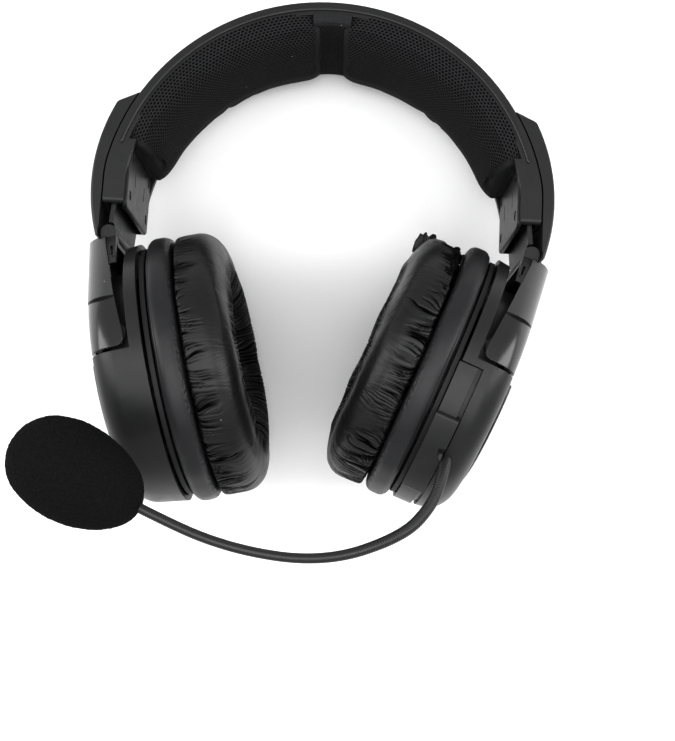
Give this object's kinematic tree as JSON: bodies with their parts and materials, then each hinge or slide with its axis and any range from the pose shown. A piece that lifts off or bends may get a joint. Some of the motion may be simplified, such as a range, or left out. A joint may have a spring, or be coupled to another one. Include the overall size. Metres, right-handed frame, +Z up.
{
  "type": "gaming headset",
  "caption": "Wireless over-ear gaming headset with padded headband, sliding and folding yokes, round cups, and a bendable microphone boom with a foam windscreen.",
  "frame": {"origin": "middle of the footprint, on the table that the headset lies on", "axes": "+Z up from the table and towards the front of the headset, +Y towards the crown of the headband, +X to the wearer's left"},
  "size_m": [0.187, 0.2046, 0.1459],
  "materials": {
    "satin_plastic": "satin black moulded plastic",
    "inner_plastic": "fine matt black plastic",
    "gloss_black": "polished black plastic",
    "pad_mesh": "black spacer mesh",
    "leatherette": "black wrinkled leatherette",
    "smooth_leatherette": "black smooth leatherette",
    "foam": "open-cell black foam",
    "boom_rubber": "black ribbed sleeve",
    "button_rubber": "black soft-touch rubber",
    "steel": "plain steel",
    "spring_steel": "blued spring steel",
    "board": "green circuit board",
    "cell": "silver laminate pouch",
    "magnet": "grey coated metal",
    "socket_metal": "nickel-plated",
    "wire_sheath": "black wire sheath"
  },
  "bodies": {
    "headband": {"headband_shell": "satin_plastic", "headband_liner": "inner_plastic", "headband_spring": "spring_steel", "headband_wire": "wire_sheath", "left_headband_pad": "pad_mesh", "left_housing_cover": "satin_plastic", "left_slider_block": "satin_plastic", "left_block_screws": "steel", "right_headband_pad": "pad_mesh", "right_housing_cover": "satin_plastic", "right_slider_block": "satin_plastic", "right_block_screws": "steel"},
    "left_slider": {"left_slider_arm": "satin_plastic", "left_fold_pin": "steel"},
    "left_fork": {"left_yoke": "satin_plastic", "left_yoke_plate": "gloss_black", "left_pivot_pins": "steel"},
    "left_cup": {"left_cup_shell": "satin_plastic", "left_outer_cap": "gloss_black", "left_baffle": "inner_plastic", "left_driver": "magnet", "left_driver_grille": "inner_plastic", "left_base_ring": "smooth_leatherette", "left_ear_pad": "leatherette", "left_cup_screws": "steel", "main_board": "board", "mic_track": "satin_plastic", "audio_jack": "inner_plastic", "volume_shaft": "steel"},
    "right_slider": {"right_slider_arm": "satin_plastic", "right_fold_pin": "steel"},
    "right_fork": {"right_yoke": "satin_plastic", "right_yoke_plate": "gloss_black", "right_pivot_pins": "steel"},
    "right_cup": {"right_cup_shell": "satin_plastic", "right_outer_cap": "gloss_black", "right_baffle": "inner_plastic", "right_driver": "magnet", "right_driver_grille": "inner_plastic", "right_base_ring": "smooth_leatherette", "right_ear_pad": "leatherette", "right_cup_screws": "steel", "battery": "cell", "radio_board": "board", "charge_port": "socket_metal"},
    "mic": {"mic_pod": "satin_plastic", "mic_boom": "boom_rubber", "mic_capsule": "inner_plastic", "mic_foam": "foam"},
    "volume_wheel": {"volume_wheel": "button_rubber"},
    "power_button": {"power_button": "button_rubber"},
    "mute_button": {"mute_button": "button_rubber"}
  },
  "joints": [
    {"name": "left_slider_extend", "type": "slide", "parent": "headband", "child": "left_slider", "axis": [0.0802, -0.9756, 0.2043], "range_m": [0, 0.018]},
    {"name": "left_fold", "type": "hinge", "parent": "left_slider", "child": "left_fork", "pos_m": [0.08554, 0.00198, 0.04438], "axis": [0, -0.205, -0.9788], "range_deg": [-14.9, 2.1]},
    {"name": "left_cup_tilt", "type": "hinge", "parent": "left_fork", "child": "left_cup", "pos_m": [0.0692, -0.03854, 0.05287], "axis": [0, -0.205, -0.9788], "range_deg": [-6, 3]},
    {"name": "right_slider_extend", "type": "slide", "parent": "headband", "child": "right_slider", "axis": [-0.0802, -0.9756, 0.2043], "range_m": [0, 0.018]},
    {"name": "right_fold", "type": "hinge", "parent": "right_slider", "child": "right_fork", "pos_m": [-0.07766, 0.00198, 0.04438], "axis": [0, 0.205, 0.9788], "range_deg": [-7.7, 9.3]},
    {"name": "right_cup_tilt", "type": "hinge", "parent": "right_fork", "child": "right_cup", "pos_m": [-0.06664, -0.04022, 0.05322], "axis": [0, 0.205, 0.9788], "range_deg": [-6, 3]},
    {"name": "mic_swing", "type": "hinge", "parent": "left_cup", "child": "mic", "pos_m": [0.05956, -0.04541, 0.0543], "axis": [-0.9342, 0.3492, -0.0731], "range_deg": [-6, 20]},
    {"name": "volume_turn", "type": "hinge", "parent": "left_cup", "child": "volume_wheel", "pos_m": [0.06048, -0.07864, 0.02748], "axis": [0.9342, -0.3492, 0.0731], "range_deg": [-135, 135]},
    {"name": "power_press", "type": "slide", "parent": "left_cup", "child": "power_button", "axis": [0.3025, 0.884, 0.3563], "range_m": [0, 0.0007], "stiffness_N_per_m": 400, "springref_m": -0.0003},
    {"name": "mute_press", "type": "slide", "parent": "left_cup", "child": "mute_button", "axis": [0.1043, 0.4633, 0.88], "range_m": [0, 0.0007], "stiffness_N_per_m": 400, "springref_m": -0.0003}
  ]
}
